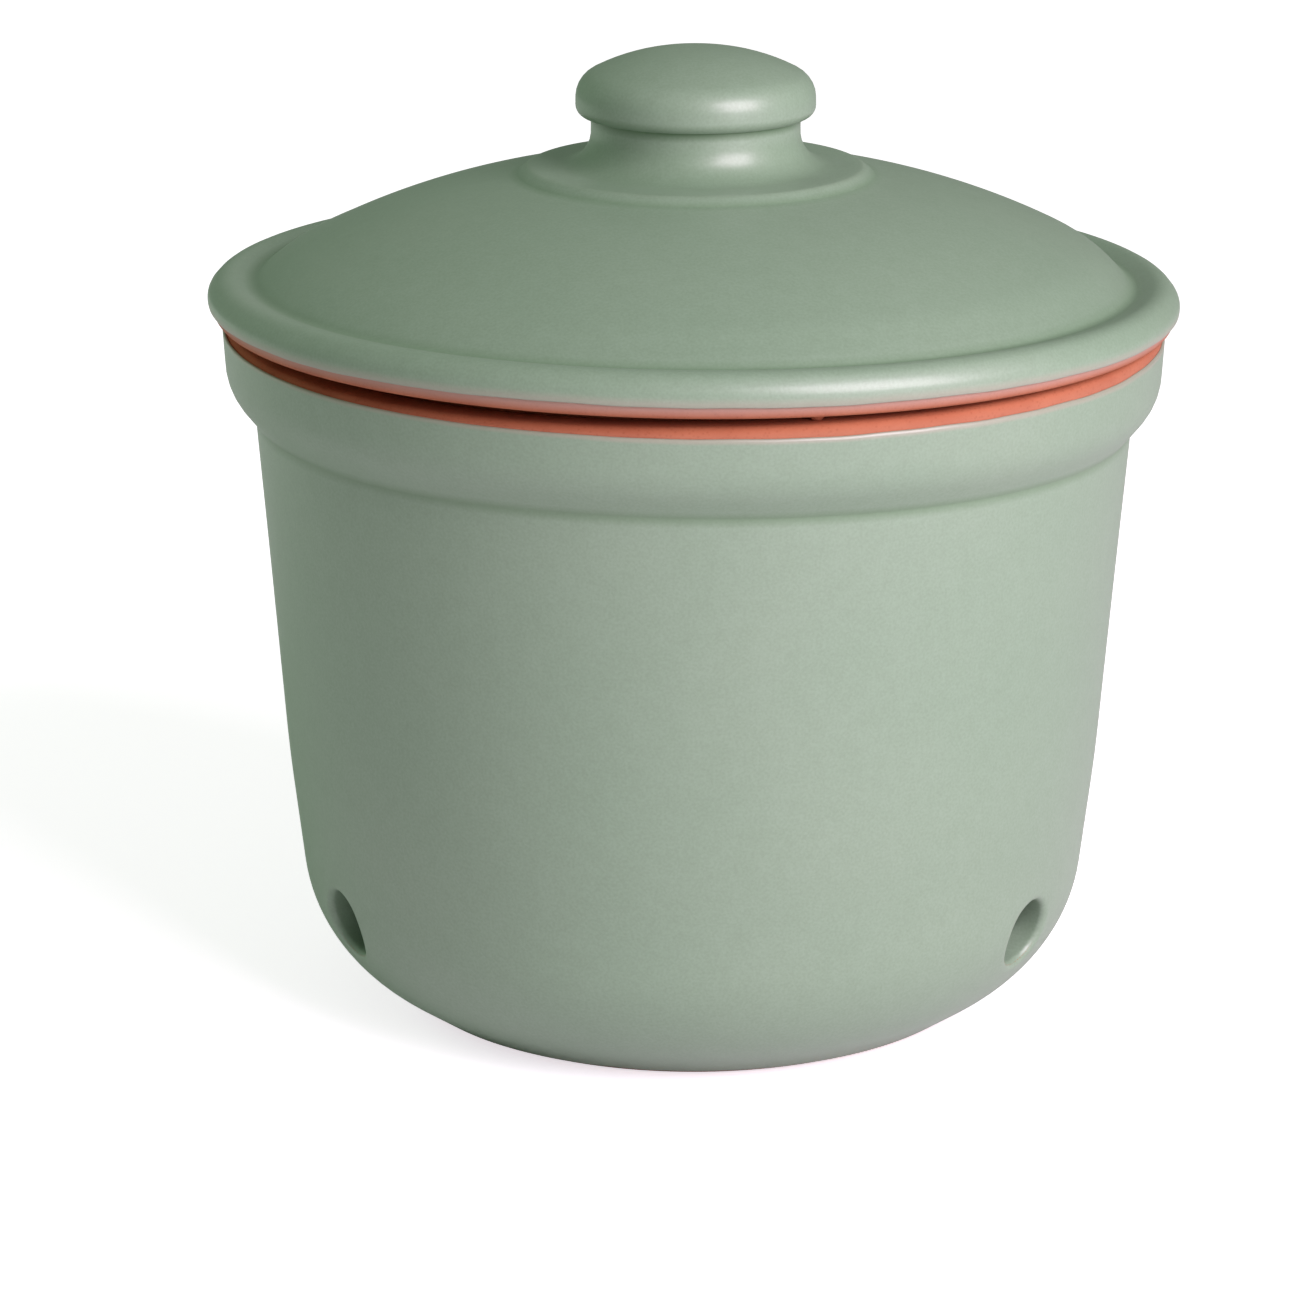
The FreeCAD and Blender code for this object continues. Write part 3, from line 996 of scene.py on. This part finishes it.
# Angle to the side of the camera's view, angle up, distance and size in metres, watts and tint. The edge
# lamp lights the far side, but the glaze doesn't mirror it.
lamps = {
    "key_softbox": (44, 28, 1.8, 1.15, 44.0, (1.0, 0.86, 0.97)),
    "edge_softbox": (-125, 15, 1.8, 0.9, 9.5, (0.80, 1.0, 0.78)),
}
lampTarget = (0, 0, 0.12)


def makeLamps():
    for name, (side, height, distance, size, watts, tint) in lamps.items():
        lamp = bpy.data.lights.new(name, "AREA")
        lamp.shape = "SQUARE"
        lamp.size = size
        lamp.energy = watts
        lamp.color = tint
        turn = math.radians(side - 90 + cameraSizes["turn"])
        rise = math.radians(height)
        place = Vector((math.cos(turn) * math.cos(rise), math.sin(turn) * math.cos(rise), math.sin(rise)))
        holder = bpy.data.objects.new(name, lamp)
        holder.visible_glossy = name == "key_softbox"
        holder.location = Vector(lampTarget) + place * distance
        holder.rotation_euler = (-place).to_track_quat("-Z", "Y").to_euler()
        bpy.context.scene.collection.objects.link(holder)


cameraSizes = {
    "distance": 1200.0, "height": 447.0, "lens": 140.2, "sensor": 36.0,
    "turn": 1.8,                    # degrees round the crock
    "down": 0.2934, "left": 0.0084,     # radians that the camera looks down and to the left
    "farthest": 50.0,               # metres that it sees
}


def makeCamera():
    c = cameraSizes
    lens = bpy.data.cameras.new("camera")
    lens.lens = c["lens"]
    lens.sensor_width = c["sensor"]
    lens.clip_end = c["farthest"]
    turn = math.radians(c["turn"])
    distance = c["distance"] * mm
    camera = bpy.data.objects.new("camera", lens)
    camera.location = (distance * math.sin(turn), -distance * math.cos(turn), c["height"] * mm)
    camera.rotation_euler = (math.pi / 2 - c["down"], 0, turn + c["left"])
    bpy.context.scene.collection.objects.link(camera)
    bpy.context.scene.camera = camera


def main():
    makeCamera()
    makeWorld()
    makeLamps()
    makeStage()
    print("camera, light and floor set")
    glaze, clay = sageGlaze(), firedClay()
    pieces = [
        (makePotClay(clay), "pot", "pot_body", "fired_clay"),
        (makePotGlaze(glaze), "pot", "pot_glaze", "sage_glaze"),
        (makeLidClay(clay), "lid", "lid_body", "fired_clay"),
        (makeKnobClay(clay), "lid", "lid_knob", "fired_clay"),
        (makeLidGlaze(glaze), "lid", "lid_glaze", "sage_glaze"),
    ]
    for piece, body, cadNode, slot in pieces:
        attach(piece, body)
        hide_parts(cadNode)
        print(piece.name, "made with", len(piece.data.polygons), "faces")
    bpy.context.scene.view_settings.view_transform = "Standard"


main()
